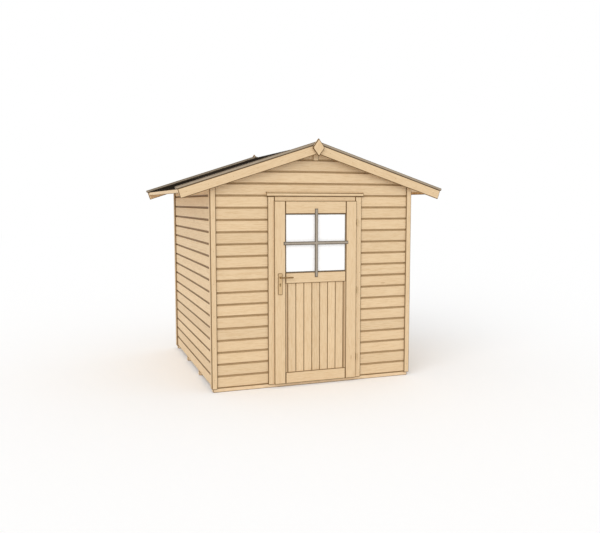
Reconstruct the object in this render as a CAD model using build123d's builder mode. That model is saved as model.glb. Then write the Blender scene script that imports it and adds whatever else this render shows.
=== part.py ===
from build123d import *
from math import cos, radians, sin, tan
import os

os.makedirs("parts", exist_ok=True)

# A small wooden garden shed with a gabled roof and one door in its front gable.
# Millimetres. The ground is z = 0, +Y runs from front to back, x = 0 is the ridge.

# Floor sizes
bearer_count = 4
bearer_height = 40
bearer_width = 60
floor_thickness = 16
floor_gap = 3

# Wall sizes: depth is over the front and back cladding, width over the corner strips
shed_width = 2050
shed_depth = 2090
cladding_thickness = 14
stud_depth = 28
stud_width = 45
rail_height = 45
studs_per_wall = 4
strip_width = 55
strip_thickness = 14
strip_drop = 8

# Doorway sizes
doorway_width = 824
doorway_height = 1772
head_depth = 60
eave_over_head = 134
jamb_thickness = 28
casing_width = 68
casing_thickness = 14
casing_drop = 10
head_strip_height = 53
drip_cap_height = 44
drip_cap_fall = 12
drip_cap_reach = 30
drip_cap_end = 15

# Door leaf sizes
leaf_thickness = 36
lip_thickness = 12
lip_side_overlap = 9
lip_head_overlap = 10
leaf_gap = 5
leaf_side_clearance = 7
leaf_foot_clearance = 6
leaf_foot_height = 32
stile_width = 112
top_rail_height = 122
lock_rail_top = 1103
lock_rail_height = 104
bottom_rail_height = 111
rail_recess = 1
panel_thickness = 14
panel_setback = 12
panel_tongue = 9
groove_play = 0.3
pane_thickness = 4
pane_setback = 14
pane_rebate = 10
pane_play = 2
bar_width = 31
bar_thickness = 9
bar_side_lap = 21
bar_end_lap = 49

# Hinge and handle sizes
hinge_count = 3
hinge_end_distance = 210
knuckle_radius = 6
knuckle_length = 32
knuckle_gap = 1
knuckle_offset = 9
hinge_pin_radius = 3
hinge_pin_length = 22
hinge_pin_play = 0.05
hinge_shank_radius = 3.5
plate_width = 45
plate_height = 204
plate_thickness = 7
plate_corner = 6
handle_height = 1060
plate_top_above_handle = 40
lock_below_handle = 62
lock_radius = 8.5
lock_web_width = 10
lock_web_drop = 24.5
lock_proud = 3
lock_play = 0.3
lock_hole_play = 1.5
key_slot_width = 2.5
key_slot_height = 9
key_slot_depth = 12
lever_length = 124
lever_radius = 7
lever_reach = 34
lever_play = 0.3
spindle_side = 8
spindle_hole_radius = 9

# Roof sizes
roof_pitch = 18
roof_board_thickness = 16
eave_overhang = 281
verge_overhang = 68
felt_thickness = 3
barge_width = 88
barge_thickness = 18
barge_tail = 31
cap_width = 42
cap_thickness = 26
cap_tail = 11
eave_strip_thickness = 14
eave_strip_height = 37
purlin_width = 55
purlin_height = 134
purlin_proud = 12
ornament_width = 112
ornament_upper_height = 90
ornament_lower_height = 84
ornament_drop = 37
ornament_cheek = 20
ornament_thickness = 28
seat_play = 0.3

# Levels and lines that follow from the sizes
slope = tan(radians(roof_pitch))
rise = 1 / cos(radians(roof_pitch))
half_width = shed_width / 2
front = -shed_depth / 2
back = shed_depth / 2
cladding_x = half_width - strip_thickness
frame_x = cladding_x - cladding_thickness
room_x = frame_x - stud_depth
frame_y = back - cladding_thickness
room_y = frame_y - stud_depth
floor_top = bearer_height + floor_thickness
front_wall_height = doorway_height + head_depth
eave_height = front_wall_height + eave_over_head
jamb_x = doorway_width / 2
opening_x = jamb_x + jamb_thickness
casing_x = jamb_x + casing_width
casing_face = front - casing_thickness
casing_foot = bearer_height - casing_drop
casing_top = doorway_height + head_strip_height
roof_under_apex = eave_height + cladding_x * slope
roof_top_apex = roof_under_apex + roof_board_thickness * rise
barge_top_apex = roof_top_apex + felt_thickness * rise
roof_x = cladding_x + eave_overhang
barge_face = back + verge_overhang
barge_back = barge_face - barge_thickness


def block(low_x, high_x, low_y, high_y, low_z, high_z):
    """A squared piece between two opposite corners."""
    with Locations(((low_x + high_x) / 2, (low_y + high_y) / 2, (low_z + high_z) / 2)):
        Box(high_x - low_x, high_y - low_y, high_z - low_z)


def cut_block(low_x, high_x, low_y, high_y, low_z, high_z):
    """A squared cut between two opposite corners."""
    with Locations(((low_x + high_x) / 2, (low_y + high_y) / 2, (low_z + high_z) / 2)):
        Box(high_x - low_x, high_y - low_y, high_z - low_z, mode=Mode.SUBTRACT)


def profile_along_y(outline, low_y, high_y):
    """A piece with one outline, drawn as seen from the front, from low_y to high_y."""
    with BuildSketch(Plane.XZ.offset(-high_y)) as face:
        with BuildLine():
            Polyline(*outline, close=True)
        make_face()
    extrude(face.sketch, amount=high_y - low_y)


def under_roof(x):
    """The height of the roof boards' underside at x."""
    return roof_under_apex - abs(x) * slope


def finish(piece, name):
    piece.part.label = name
    export_step(piece.part, "parts/" + name + ".step")


# The floor: bearers on the ground, and boards on them between the wall frames
with BuildPart() as floor_bearers:
    bearer_pitch = (shed_depth - bearer_width) / (bearer_count - 1)
    for number in range(bearer_count):
        near = front + number * bearer_pitch
        block(-cladding_x, cladding_x, near, near + bearer_width, 0, bearer_height)
finish(floor_bearers, "floor_bearers")

with BuildPart() as floor_boards:
    floor_x = room_x - floor_gap
    floor_y = room_y - floor_gap
    block(-floor_x, floor_x, -floor_y, floor_y, bearer_height, floor_top)
finish(floor_boards, "floor_boards")

# The side walls: one skin of boards each, its top edge bevelled to the roof
for side, name in ((-1, "left_wall"), (1, "right_wall")):
    with BuildPart() as side_wall:
        outline = [
            (side * cladding_x, bearer_height),
            (side * frame_x, bearer_height),
            (side * frame_x, under_roof(frame_x)),
            (side * cladding_x, under_roof(cladding_x)),
        ]
        profile_along_y(outline, -frame_y, frame_y)
    finish(side_wall, name)

# The gable walls: the back one is whole, the front one is in three round its doorway
purlin_x = purlin_width / 2
purlin_foot = roof_under_apex - purlin_height
notch_x = purlin_x + seat_play
notch_foot = purlin_foot - seat_play


def gable_outline(foot):
    """A gable wall from foot up to the roof, notched for the ridge purlin."""
    return [
        (-cladding_x, foot),
        (cladding_x, foot),
        (cladding_x, under_roof(cladding_x)),
        (notch_x, under_roof(notch_x)),
        (notch_x, notch_foot),
        (-notch_x, notch_foot),
        (-notch_x, under_roof(notch_x)),
        (-cladding_x, under_roof(cladding_x)),
    ]


with BuildPart() as back_wall:
    profile_along_y(gable_outline(bearer_height), frame_y, back)
finish(back_wall, "back_wall")

with BuildPart() as front_gable:
    profile_along_y(gable_outline(front_wall_height), front, -frame_y)
finish(front_gable, "front_gable")

with BuildPart() as front_wall_left:
    block(-cladding_x, -opening_x, front, -frame_y, bearer_height, front_wall_height)
finish(front_wall_left, "front_wall_left")

with BuildPart() as front_wall_right:
    block(opening_x, cladding_x, front, -frame_y, bearer_height, front_wall_height)
finish(front_wall_right, "front_wall_right")

# The frame of battens inside the side walls
rail_top = bearer_height + rail_height
with BuildPart() as side_wall_plates:
    for side in (-1, 1):
        block(*sorted((side * room_x, side * frame_x)), -room_y, room_y, bearer_height, rail_top)
        outline = [
            (side * frame_x, under_roof(frame_x) - rail_height),
            (side * room_x, under_roof(frame_x) - rail_height),
            (side * room_x, under_roof(room_x)),
            (side * frame_x, under_roof(frame_x)),
        ]
        profile_along_y(outline, -room_y, room_y)
finish(side_wall_plates, "side_wall_plates")

with BuildPart() as side_wall_studs:
    stud_pitch = (2 * room_y - stud_width) / (studs_per_wall - 1)
    stud_top = under_roof(frame_x) - rail_height
    for side in (-1, 1):
        for number in range(studs_per_wall):
            near = -room_y + number * stud_pitch
            across = sorted((side * room_x, side * frame_x))
            block(*across, near, near + stud_width, rail_top, stud_top)
finish(side_wall_studs, "side_wall_studs")

# The frame of battens inside the gable walls, with rafters under the roof boards
eave_rail_top = front_wall_height + rail_height
with BuildPart() as end_wall_rails:
    block(-frame_x, frame_x, room_y, frame_y, bearer_height, rail_top)
    for side in (-1, 1):
        block(*sorted((side * opening_x, side * frame_x)), -frame_y, -room_y, bearer_height, rail_top)
    for low_y, high_y in ((-frame_y, -room_y), (room_y, frame_y)):
        block(-frame_x, frame_x, low_y, high_y, front_wall_height, eave_rail_top)
        for side in (-1, 1):
            outline = [
                (side * frame_x, under_roof(frame_x) - rail_height * rise),
                (side * frame_x, under_roof(frame_x)),
                (side * notch_x, under_roof(notch_x)),
                (side * notch_x, under_roof(notch_x) - rail_height * rise),
            ]
            profile_along_y(outline, low_y, high_y)
finish(end_wall_rails, "end_wall_rails")

with BuildPart() as end_wall_studs:
    for side in (-1, 1):
        corner = sorted((side * (frame_x - stud_width), side * frame_x))
        beside_door = sorted((side * opening_x, side * (opening_x + stud_width)))
        for low_y, high_y in ((-frame_y, -room_y), (room_y, frame_y)):
            block(*corner, low_y, high_y, rail_top, front_wall_height)
            block(*beside_door, low_y, high_y, rail_top, front_wall_height)
    for low_y, high_y in ((-frame_y, -room_y), (room_y, frame_y)):
        block(-stud_width / 2, stud_width / 2, low_y, high_y, eave_rail_top, purlin_foot)
finish(end_wall_studs, "end_wall_studs")

# The corner strips: a pair on each face, over the ends of the boards
strip_foot = bearer_height - strip_drop
for low_y, high_y, name in (
    (front - strip_thickness, front, "front_corner_strips"),
    (back, back + strip_thickness, "back_corner_strips"),
):
    with BuildPart() as corner_strips:
        for side in (-1, 1):
            inner = half_width - strip_width
            outline = [
                (side * inner, strip_foot),
                (side * half_width, strip_foot),
                (side * half_width, under_roof(half_width)),
                (side * inner, under_roof(inner)),
            ]
            profile_along_y(outline, low_y, high_y)
    finish(corner_strips, name)

for side, name in ((-1, "left_corner_strips"), (1, "right_corner_strips")):
    with BuildPart() as corner_strips:
        outline = [
            (side * cladding_x, strip_foot),
            (side * half_width, strip_foot),
            (side * half_width, under_roof(half_width)),
            (side * cladding_x, under_roof(cladding_x)),
        ]
        profile_along_y(outline, front, front + strip_width)
        profile_along_y(outline, back - strip_width, back)
    finish(corner_strips, name)

# The doorway: jambs and a head through the wall, a threshold, and casings outside
with BuildPart() as door_jambs:
    for side in (-1, 1):
        block(*sorted((side * jamb_x, side * opening_x)), front, -room_y, bearer_height, doorway_height)
finish(door_jambs, "door_jambs")

with BuildPart() as door_head_lining:
    block(-opening_x, opening_x, front, -room_y, doorway_height, front_wall_height)
finish(door_head_lining, "door_head_lining")

with BuildPart() as threshold:
    block(-jamb_x, jamb_x, casing_face, -room_y, bearer_height, floor_top)
finish(threshold, "threshold")

with BuildPart() as door_casings:
    for side in (-1, 1):
        block(*sorted((side * jamb_x, side * casing_x)), casing_face, front, casing_foot, casing_top)
finish(door_casings, "door_casings")

with BuildPart() as door_head_strip:
    block(-jamb_x, jamb_x, casing_face, front, doorway_height, casing_top)
finish(door_head_strip, "door_head_strip")

with BuildPart() as drip_cap:
    with BuildSketch(Plane.YZ.offset(-casing_x - drip_cap_end)) as drip_section:
        with BuildLine():
            Polyline(
                (front, casing_top),
                (front - drip_cap_reach, casing_top),
                (front - drip_cap_reach, casing_top + drip_cap_height - drip_cap_fall),
                (front, casing_top + drip_cap_height),
                close=True,
            )
        make_face()
    extrude(amount=2 * (casing_x + drip_cap_end))
finish(drip_cap, "drip_cap")

# The door leaf: its lip lies over the casings, the thicker part goes between the jambs
lip_back = casing_face - leaf_gap
leaf_face = lip_back - lip_thickness
leaf_back = leaf_face + leaf_thickness
leaf_x = jamb_x + lip_side_overlap
leaf_body_x = jamb_x - leaf_side_clearance
leaf_top = doorway_height + lip_head_overlap
leaf_body_foot = floor_top + leaf_foot_clearance
leaf_body_top = doorway_height - leaf_side_clearance
stile_x = leaf_x - stile_width
rail_face = leaf_face + rail_recess
pane_foot = lock_rail_top
pane_top = leaf_top - top_rail_height
panel_foot = leaf_foot_height + bottom_rail_height
panel_top = lock_rail_top - lock_rail_height
panel_face = leaf_face + panel_setback
panel_back = panel_face + panel_thickness
groove_depth = panel_tongue + groove_play
pane_face = leaf_face + pane_setback
rebate_x = stile_x + pane_rebate
rebate_foot = pane_foot - pane_rebate
rebate_top = pane_top + pane_rebate
handle_x = -(leaf_x - stile_width / 2)
lock_height = handle_height - lock_below_handle
pin_x = leaf_x + knuckle_offset
pin_y = (leaf_face + lip_back) / 2
hinge_spread = leaf_top - leaf_foot_height - 2 * hinge_end_distance
hinge_heights = [
    leaf_foot_height + hinge_end_distance + number * hinge_spread / (hinge_count - 1)
    for number in range(hinge_count)
]


def cut_panel_groove():
    """The groove all round the lower opening, which holds the panel's edges."""
    reach = stile_x + groove_depth
    low = panel_foot - groove_depth
    high = panel_top + groove_depth
    cut_block(-reach, reach, panel_face - groove_play, panel_back + groove_play, low, high)


def cut_pane_rebate():
    """The rebate round the upper opening, open to the back, for the pane and its beads."""
    cut_block(-rebate_x, rebate_x, pane_face, leaf_back, rebate_foot, rebate_top)


def lock_profile(play, mode):
    """The outline of the lock cylinder, round with a flat web below, and some play."""
    with Locations((handle_x, lock_height)):
        Circle(lock_radius + play, mode=mode)
    web_length = lock_web_drop + lock_web_width / 2
    with Locations((handle_x, lock_height + lock_web_width / 2 - web_length / 2)):
        SlotOverall(web_length + 2 * play, lock_web_width + 2 * play, rotation=90, mode=mode)


with BuildPart() as door_stiles:
    for side in (-1, 1):
        block(*sorted((side * stile_x, side * leaf_x)), leaf_face, lip_back, leaf_foot_height, leaf_top)
        body = sorted((side * stile_x, side * leaf_body_x))
        block(*body, lip_back, leaf_back, leaf_body_foot, leaf_body_top)
    cut_panel_groove()
    cut_pane_rebate()
    with BuildSketch(Plane.XZ.offset(-leaf_face)) as lock_holes:
        with Locations((handle_x, handle_height)):
            Circle(spindle_hole_radius)
        lock_profile(lock_hole_play, Mode.ADD)
    extrude(lock_holes.sketch, amount=-leaf_thickness, mode=Mode.SUBTRACT)
finish(door_stiles, "door_stiles")

with BuildPart() as door_rails:
    block(-stile_x, stile_x, rail_face, lip_back, pane_top, leaf_top)
    block(-stile_x, stile_x, lip_back, leaf_back, pane_top, leaf_body_top)
    block(-stile_x, stile_x, rail_face, leaf_back, panel_top, lock_rail_top)
    block(-stile_x, stile_x, rail_face, lip_back, leaf_foot_height, panel_foot)
    block(-stile_x, stile_x, lip_back, leaf_back, leaf_body_foot, panel_foot)
    cut_panel_groove()
    cut_pane_rebate()
finish(door_rails, "door_rails")

with BuildPart() as door_panel:
    reach = stile_x + panel_tongue
    block(-reach, reach, panel_face, panel_back, panel_foot - panel_tongue, panel_top + panel_tongue)
finish(door_panel, "door_panel")

with BuildPart() as door_glass:
    reach = rebate_x - pane_play
    low = rebate_foot + pane_play
    block(-reach, reach, pane_face, pane_face + pane_thickness, low, rebate_top - pane_play)
finish(door_glass, "door_glass")

with BuildPart() as glazing_beads:
    bead_face = pane_face + pane_thickness
    block(-rebate_x, rebate_x, bead_face, leaf_back, rebate_foot, rebate_top)
    cut_block(-stile_x, stile_x, bead_face, leaf_back, pane_foot, pane_top)
finish(glazing_beads, "glazing_beads")

with BuildPart() as glazing_bars:
    bar_face = leaf_face - bar_thickness
    half_bar = bar_width / 2
    reach = stile_x + bar_side_lap
    middle = (pane_foot + pane_top) / 2
    block(-reach, reach, bar_face, leaf_face, middle - half_bar, middle + half_bar)
    low = pane_foot - bar_end_lap
    block(-half_bar, half_bar, bar_face, rail_face, low, pane_top + bar_end_lap)
finish(glazing_bars, "glazing_bars")

# The hinges: each is two knuckles on one pin, with a shank into the leaf or the casing
with BuildPart() as door_hinge_knuckles:
    for height in hinge_heights:
        with Locations((pin_x, pin_y, height + knuckle_gap / 2)):
            Cylinder(knuckle_radius, knuckle_length, align=(Align.CENTER, Align.CENTER, Align.MIN))
        with Locations(Plane((leaf_x, pin_y, height + knuckle_length / 2), z_dir=(1, 0, 0))):
            Cylinder(hinge_shank_radius, knuckle_offset, align=(Align.CENTER, Align.CENTER, Align.MIN))
    for height in hinge_heights:
        bore_depth = knuckle_gap / 2 + hinge_pin_length + knuckle_gap
        with Locations((pin_x, pin_y, height)):
            Cylinder(
                hinge_pin_radius + hinge_pin_play,
                bore_depth,
                align=(Align.CENTER, Align.CENTER, Align.MIN),
                mode=Mode.SUBTRACT,
            )
finish(door_hinge_knuckles, "door_hinge_knuckles")

with BuildPart() as frame_hinge_knuckles:
    for height in hinge_heights:
        with Locations((pin_x, pin_y, height - knuckle_gap / 2)):
            Cylinder(knuckle_radius, knuckle_length, align=(Align.CENTER, Align.CENTER, Align.MAX))
        with Locations((pin_x, pin_y, height - knuckle_gap)):
            Cylinder(
                hinge_pin_radius,
                knuckle_gap + hinge_pin_length,
                align=(Align.CENTER, Align.CENTER, Align.MIN),
            )
        with Locations(Plane((pin_x, casing_face, height - knuckle_length / 2), z_dir=(0, -1, 0))):
            Cylinder(hinge_shank_radius, casing_face - pin_y, align=(Align.CENTER, Align.CENTER, Align.MIN))
finish(frame_hinge_knuckles, "frame_hinge_knuckles")

# The handle: a long plate on each face of the left stile, and a lever on each
plate_middle = handle_height + plate_top_above_handle - plate_height / 2
with BuildPart() as handle_plates:
    for plane in (Plane.XZ.offset(-leaf_face), Plane.XZ.offset(-leaf_back - plate_thickness)):
        with BuildSketch(plane) as plate_face:
            with Locations((handle_x, plate_middle)):
                RectangleRounded(plate_width, plate_height, plate_corner)
            with Locations((handle_x, handle_height)):
                Circle(lever_radius + lever_play, mode=Mode.SUBTRACT)
            lock_profile(lock_play, Mode.SUBTRACT)
        extrude(plate_face.sketch, amount=plate_thickness)
finish(handle_plates, "handle_plates")

with BuildPart() as lock_cylinder:
    lock_reach = plate_thickness + lock_proud
    with BuildSketch(Plane.XZ.offset(-leaf_face + lock_reach)) as lock_face:
        lock_profile(0, Mode.ADD)
    extrude(lock_face.sketch, amount=-leaf_thickness - 2 * lock_reach)
    slot_back = leaf_face - lock_reach + key_slot_depth
    cut_block(
        handle_x - key_slot_width / 2,
        handle_x + key_slot_width / 2,
        leaf_face - lock_reach,
        slot_back,
        lock_height - key_slot_height / 2,
        lock_height + key_slot_height / 2,
    )
finish(lock_cylinder, "lock_cylinder")


def lever(outward, face):
    """One lever: a round neck out of the plate, bent into a grip along +X."""
    with BuildPart(mode=Mode.PRIVATE) as made:
        with BuildLine() as path:
            neck_end = face + outward * lever_reach
            FilletPolyline(
                (handle_x, face, handle_height),
                (handle_x, neck_end, handle_height),
                (handle_x + lever_length - lever_radius, neck_end, handle_height),
                radius=lever_radius * 1.5,
            )
        start = Plane((handle_x, face, handle_height), z_dir=(0, outward, 0))
        with BuildSketch(start) as section:
            Circle(lever_radius)
        sweep(sections=section.sketch, path=path.line)
        with Locations((handle_x + lever_length - lever_radius, neck_end, handle_height)):
            Sphere(lever_radius)
    return made.part


with BuildPart() as lever_handles:
    add(lever(-1, leaf_face - lever_play))
    add(lever(1, leaf_back + lever_play))
finish(lever_handles, "lever_handles")

with BuildPart() as lever_spindle:
    half_side = spindle_side / 2
    low_z = handle_height - half_side
    high_z = handle_height + half_side
    near = leaf_face - lever_play
    block(handle_x - half_side, handle_x + half_side, near, leaf_back + lever_play, low_z, high_z)
finish(lever_spindle, "lever_spindle")

# The roof: a ridge purlin, boards from ridge to eave, and felt to the barge boards
with BuildPart() as ridge_purlin:
    outline = [
        (-purlin_x, purlin_foot),
        (purlin_x, purlin_foot),
        (purlin_x, under_roof(purlin_x)),
        (0, roof_under_apex),
        (-purlin_x, under_roof(purlin_x)),
    ]
    profile_along_y(outline, front - purlin_proud, back + purlin_proud)
finish(ridge_purlin, "ridge_purlin")

for side, name in ((-1, "roof_boards_left"), (1, "roof_boards_right")):
    with BuildPart() as roof_boards:
        outline = [
            (0, roof_under_apex),
            (side * roof_x, under_roof(roof_x)),
            (side * roof_x, under_roof(roof_x) + roof_board_thickness * rise),
            (0, roof_top_apex),
        ]
        profile_along_y(outline, -barge_back, barge_back)
    finish(roof_boards, name)

felt_x = roof_x + eave_strip_thickness
felt_rise = felt_thickness * rise
for side, name in ((-1, "roof_felt_left"), (1, "roof_felt_right")):
    with BuildPart() as roof_felt:
        eave_level = roof_top_apex - felt_x * slope
        sheet = [
            (0, roof_top_apex),
            (side * felt_x, eave_level),
            (side * felt_x, eave_level + felt_rise),
            (0, roof_top_apex + felt_rise),
        ]
        profile_along_y(sheet, -barge_back, barge_back)
    finish(roof_felt, name)

with BuildPart() as eave_strips:
    for side in (-1, 1):
        outline = [
            (side * roof_x, roof_top_apex - roof_x * slope),
            (side * felt_x, roof_top_apex - felt_x * slope),
            (side * felt_x, roof_top_apex - felt_x * slope - eave_strip_height),
            (side * roof_x, roof_top_apex - felt_x * slope - eave_strip_height),
        ]
        profile_along_y(outline, -barge_back, barge_back)
finish(eave_strips, "eave_strips")

# The verges: barge boards with square ends, and a cap strip along the top of each pair
shift_x = sin(radians(roof_pitch))
shift_z = cos(radians(roof_pitch))


def sloping_board(side, apex, width, end_x):
    """A board down one slope: apex is its top edge at the ridge, end_x its top corner."""
    corner_z = apex - end_x * slope
    return [
        (0, apex),
        (side * end_x, corner_z),
        (side * (end_x - width * shift_x), corner_z - width * shift_z),
        (0, apex - width * rise),
    ]


barge_x = roof_x + barge_tail
for end, low_y, high_y in (("front", -barge_face, -barge_back), ("back", barge_back, barge_face)):
    for side, hand in ((-1, "left"), (1, "right")):
        with BuildPart() as barge_board:
            profile_along_y(sloping_board(side, barge_top_apex, barge_width, barge_x), low_y, high_y)
        finish(barge_board, end + "_barge_" + hand)

cap_apex = barge_top_apex + cap_thickness * rise
cap_x = barge_x + cap_tail * shift_z + cap_thickness * shift_x
for side, name in ((-1, "verge_caps_left"), (1, "verge_caps_right")):
    with BuildPart() as verge_caps:
        outline = sloping_board(side, cap_apex, cap_thickness, cap_x)
        profile_along_y(outline, -barge_face, -barge_face + cap_width)
        profile_along_y(outline, barge_face - cap_width, barge_face)
    finish(verge_caps, name)

# The ornament over the joint of each pair of barge boards
ornament_z = barge_top_apex - ornament_drop
with BuildPart() as gable_ornaments:
    half_ornament = ornament_width / 2
    half_cheek = ornament_cheek / 2
    outline = [
        (0, ornament_z + ornament_upper_height),
        (-half_ornament, ornament_z + half_cheek),
        (-half_ornament, ornament_z - half_cheek),
        (0, ornament_z - ornament_lower_height),
        (half_ornament, ornament_z - half_cheek),
        (half_ornament, ornament_z + half_cheek),
    ]
    profile_along_y(outline, -barge_face - ornament_thickness, -barge_face)
    profile_along_y(outline, barge_face, barge_face + ornament_thickness)
finish(gable_ornaments, "gable_ornaments")
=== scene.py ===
from math import atan2, ceil, cos, pi, radians, sin, tan

import bpy
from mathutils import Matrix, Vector


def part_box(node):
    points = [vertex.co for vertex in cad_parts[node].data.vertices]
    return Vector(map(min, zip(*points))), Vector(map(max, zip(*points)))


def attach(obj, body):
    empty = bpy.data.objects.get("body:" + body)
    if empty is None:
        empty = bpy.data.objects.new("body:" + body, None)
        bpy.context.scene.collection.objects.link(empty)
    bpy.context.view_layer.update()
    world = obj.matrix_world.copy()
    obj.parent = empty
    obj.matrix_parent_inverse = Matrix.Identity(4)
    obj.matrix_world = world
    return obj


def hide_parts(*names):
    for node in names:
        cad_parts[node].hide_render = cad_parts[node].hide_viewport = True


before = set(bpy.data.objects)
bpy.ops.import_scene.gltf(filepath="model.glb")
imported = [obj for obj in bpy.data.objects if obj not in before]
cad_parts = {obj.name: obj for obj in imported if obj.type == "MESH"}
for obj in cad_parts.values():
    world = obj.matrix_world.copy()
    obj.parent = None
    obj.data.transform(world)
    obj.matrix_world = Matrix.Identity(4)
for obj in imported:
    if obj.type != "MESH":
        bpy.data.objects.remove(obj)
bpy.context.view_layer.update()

# Camera: stands in front of the shed and to its left, at a tall person's eye height,
# turned a little to the right and down, as the photo was taken.
camera_place = (-2.2755, -7.083, 1.764)
camera_turn = 0.3377
camera_tilt = 0.0946
lens_mm = 40.29
camera_data = bpy.data.cameras.new("camera")
camera_data.lens = lens_mm
camera_data.sensor_width = 36
camera = bpy.data.objects.new("camera", camera_data)
camera.location = camera_place
camera.rotation_euler = (pi / 2 - camera_tilt, 0, -camera_turn)
bpy.context.scene.collection.objects.link(camera)
bpy.context.scene.camera = camera
bpy.context.scene.view_settings.view_transform = "Standard"

# Studio: a white room with even light from all round, and one wide soft sun from in front
# and the left. The sky shows plain white to the camera and in gloss.
sky_light = 0.825
sun_light = 1.1
sun_spread = radians(50)
sun_aim = Vector((1.0, 1.15, -0.88))
world = bpy.data.worlds.new("white room")
bpy.context.scene.world = world
world.use_nodes = True
sky = world.node_tree.nodes["Background"]
sky_path = world.node_tree.nodes.new("ShaderNodeLightPath")
sky_seen = world.node_tree.nodes.new("ShaderNodeMath")
sky_seen.operation = "MAXIMUM"
sky_level = world.node_tree.nodes.new("ShaderNodeMapRange")
sky_level.inputs["To Min"].default_value = sky_light
sky_level.inputs["To Max"].default_value = 1.0
sky.inputs["Color"].default_value = (1, 1, 1, 1)
world_links = world.node_tree.links
world_links.new(sky_path.outputs["Is Camera Ray"], sky_seen.inputs[0])
world_links.new(sky_path.outputs["Is Glossy Ray"], sky_seen.inputs[1])
world_links.new(sky_seen.outputs[0], sky_level.inputs["Value"])
world_links.new(sky_level.outputs["Result"], sky.inputs["Strength"])
sun_data = bpy.data.lights.new("soft sun", "SUN")
sun_data.energy = sun_light
sun_data.angle = sun_spread
sun = bpy.data.objects.new("soft sun", sun_data)
sun.rotation_euler = sun_aim.to_track_quat("-Z", "Y").to_euler()
bpy.context.scene.collection.objects.link(sun)

# Floor: one wide pale sheet of paper that keeps the shed's soft shadow. To the camera it is
# a little paler than to the light that falls on it. It isn't part of the shed.
floor_size = 60
bpy.ops.object.select_all(action="DESELECT")
bpy.ops.mesh.primitive_plane_add(size=floor_size, location=(0, 0, 0))
studio_floor = bpy.context.active_object
studio_floor.name = "studio_floor"
floor_paper = bpy.data.materials.new("floor paper")
floor_paper.use_nodes = True
paper_nodes = floor_paper.node_tree.nodes
paper_links = floor_paper.node_tree.links
paper_shader = paper_nodes["Principled BSDF"]
paper_shader.inputs["Roughness"].default_value = 1.0
paper_shader.inputs["Specular IOR Level"].default_value = 0.0
paper_path = paper_nodes.new("ShaderNodeLightPath")
paper_seen = paper_nodes.new("ShaderNodeMath")
paper_seen.operation = "MAXIMUM"
paper_tone = paper_nodes.new("ShaderNodeMix")
paper_tone.data_type = "RGBA"
paper_tone.inputs["A"].default_value = (0.90, 0.89, 0.88, 1)
paper_tone.inputs["B"].default_value = (1.0, 1.0, 1.0, 1)
paper_links.new(paper_path.outputs["Is Camera Ray"], paper_seen.inputs[0])
paper_links.new(paper_path.outputs["Is Glossy Ray"], paper_seen.inputs[1])
paper_links.new(paper_seen.outputs[0], paper_tone.inputs["Factor"])
paper_links.new(paper_tone.outputs["Result"], paper_shader.inputs["Base Color"])
studio_floor.data.materials.append(floor_paper)

# Bearers: four sawn spruce battens lie on the ground and carry the floor and the walls.
# Their arrises are eased, and the sawn faces are painted paler than the planed wood:
# painted light that lifts the shade near the ground.
ring_share = 0.34
fibre_share = 0.30
patch_share = 0.22
knot_share = 0.3
knot_brown = (150, 104, 62)
weld_distance = 0.00002
sharp_angle = 30


def paint(red, green, blue):
    """A colour as a screen shows it, 0 to 255, in the shader's own scale."""
    parts = []
    for part in (red, green, blue):
        part = part / 255
        parts.append(part / 12.92 if part <= 0.04045 else ((part + 0.055) / 1.055) ** 2.4)
    return (*parts, 1)


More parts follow.
